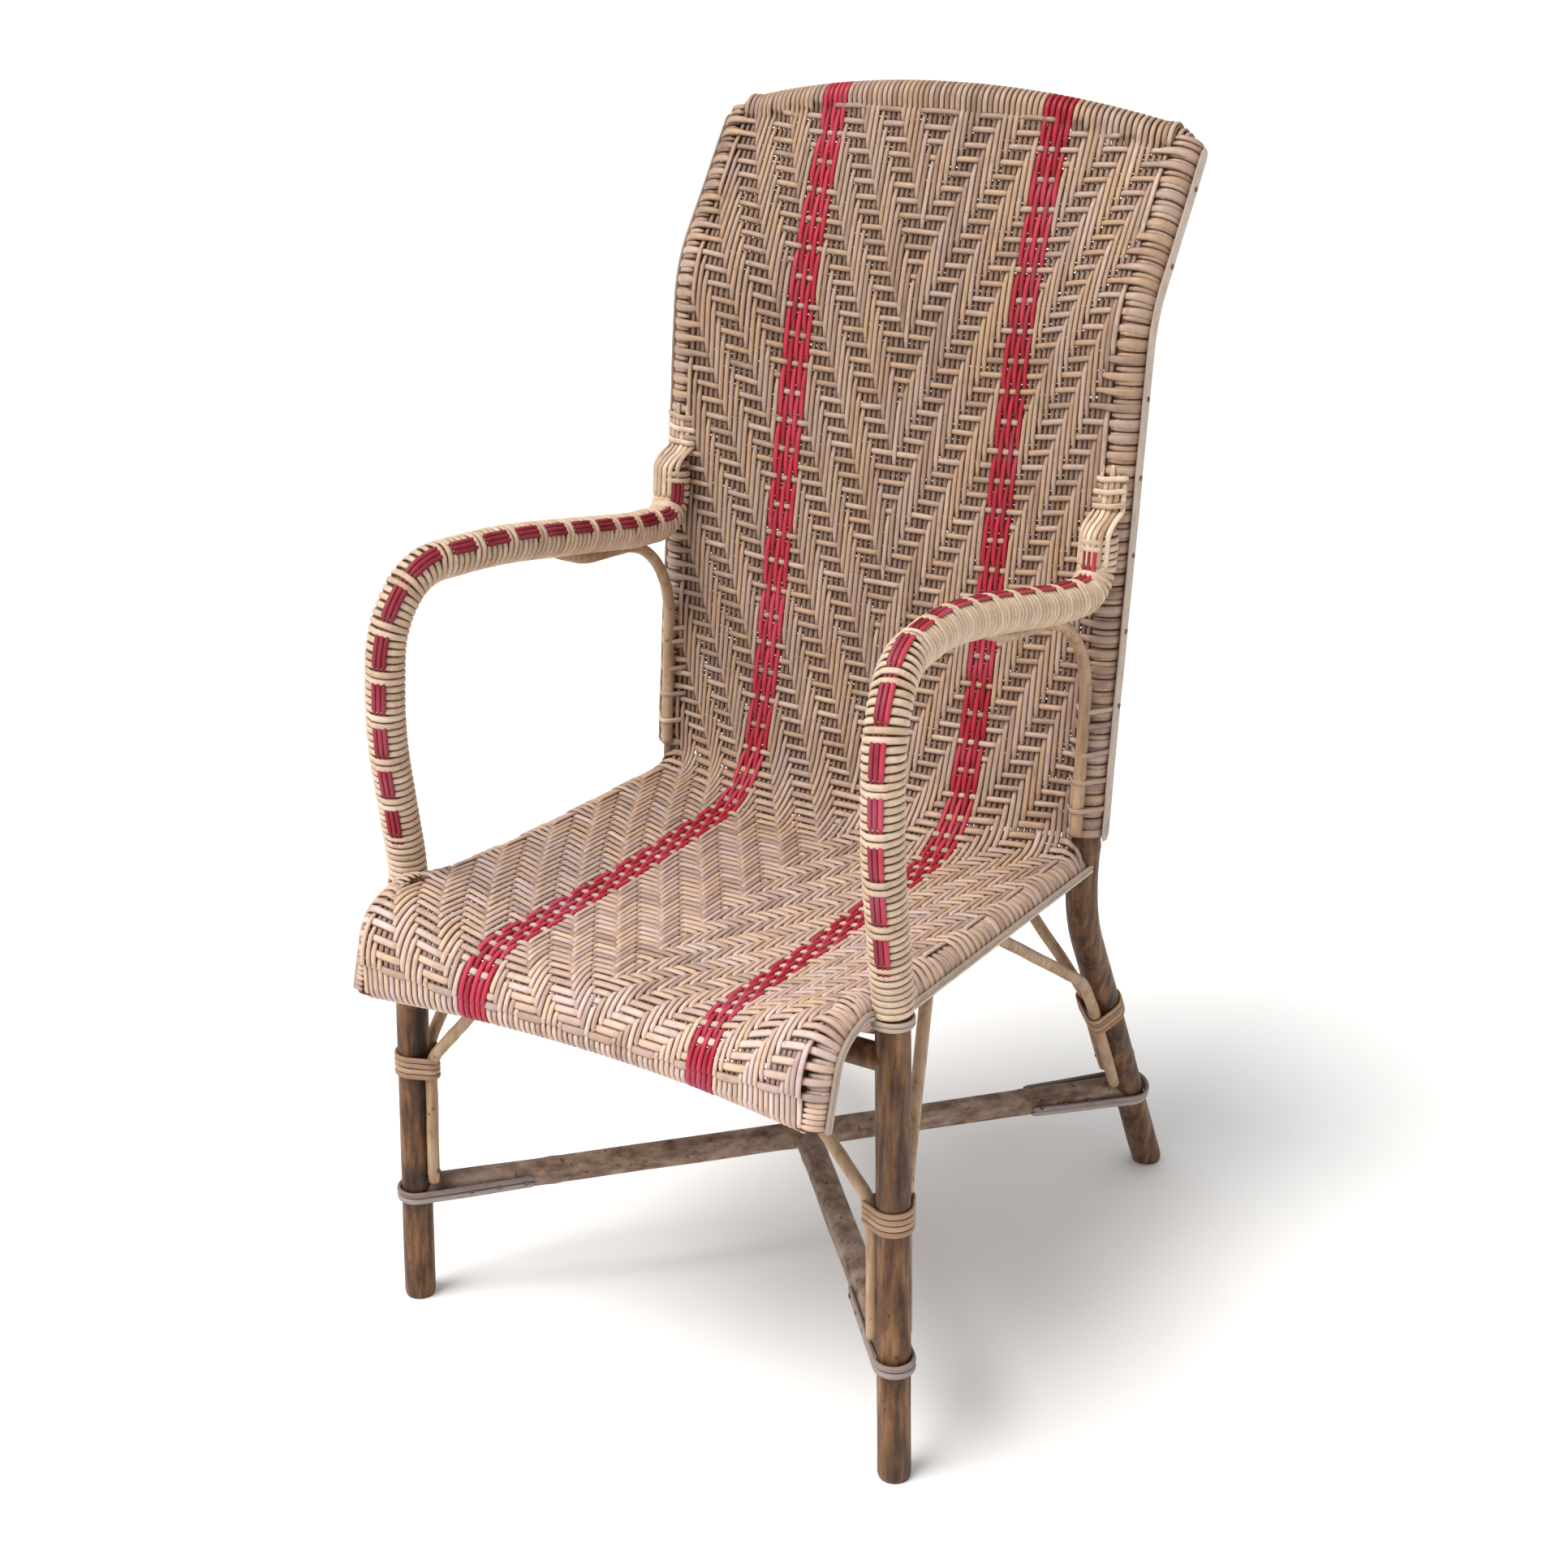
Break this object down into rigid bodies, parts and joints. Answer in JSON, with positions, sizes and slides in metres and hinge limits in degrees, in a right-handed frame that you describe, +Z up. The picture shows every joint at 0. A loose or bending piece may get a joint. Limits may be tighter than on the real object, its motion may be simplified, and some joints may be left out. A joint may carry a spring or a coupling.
{
  "type": "rattan armchair",
  "caption": "High-backed rattan armchair with a continuous herringbone-woven back and seat, red stripes, bent wrapped arms, braced legs and crossed stretchers.",
  "frame": {"origin": "on the floor at the centre of the chair's outline", "axes": "+Z up, the seat faces -Y, +X to the sitter's left, so that x = 0 is the plane between the two halves"},
  "size_m": [0.5296, 0.688, 1.05],
  "materials": {
    "rattan_pole": "satin varnished rattan pole",
    "grey_rattan": "weathered matt rattan",
    "brace_cane": "satin peeled rattan",
    "woven_rattan": "satin woven rattan core",
    "wound_cane": "satin wound cane",
    "red_cane": "satin dyed cane",
    "weathered_cane": "matt weathered cane",
    "dark_nails": "dull rusted iron"
  },
  "bodies": {
    "root": {"arm_brace_left": "brace_cane", "arm_brace_right": "brace_cane", "arm_inlay_left": "red_cane", "arm_inlay_right": "red_cane", "arm_wrap_left": "wound_cane", "arm_wrap_right": "wound_cane", "back_binding_left": "weathered_cane", "back_binding_right": "weathered_cane", "back_binding_tacks_left": "dark_nails", "back_binding_tacks_right": "dark_nails", "back_edge_wrap_left": "woven_rattan", "back_edge_wrap_right": "woven_rattan", "brace_nails": "dark_nails", "crest_rail": "rattan_pole", "crest_wrap": "woven_rattan", "crossing_nail": "dark_nails", "front_brace_inner_left": "brace_cane", "front_brace_inner_right": "brace_cane", "front_brace_side_left": "brace_cane", "front_brace_side_right": "brace_cane", "front_edge_wrap": "woven_rattan", "front_lashing_left": "wound_cane", "front_lashing_right": "wound_cane", "front_leg_arm_pole_left": "rattan_pole", "front_leg_arm_pole_right": "rattan_pole", "front_strap_left": "grey_rattan", "front_strap_right": "grey_rattan", "rear_brace_inner_left": "brace_cane", "rear_brace_inner_right": "brace_cane", "rear_brace_side_left": "brace_cane", "rear_brace_side_right": "brace_cane", "rear_lashing_left": "wound_cane", "rear_lashing_right": "wound_cane", "rear_pole_left": "rattan_pole", "rear_pole_right": "rattan_pole", "rear_strap_left": "grey_rattan", "rear_strap_right": "grey_rattan", "red_stripe_left": "red_cane", "red_stripe_right": "red_cane", "seat_binding_left": "weathered_cane", "seat_binding_right": "weathered_cane", "seat_cross_rail": "rattan_pole", "seat_front_rail": "rattan_pole", "seat_rear_rail": "rattan_pole", "seat_side_rail_left": "rattan_pole", "seat_side_rail_right": "rattan_pole", "side_rail_wrap_left": "woven_rattan", "side_rail_wrap_right": "woven_rattan", "strap_nails": "dark_nails", "stretcher_lower": "grey_rattan", "stretcher_upper": "grey_rattan", "weave_centre": "woven_rattan", "weave_left": "woven_rattan", "weave_right": "woven_rattan"}
  },
  "joints": []
}
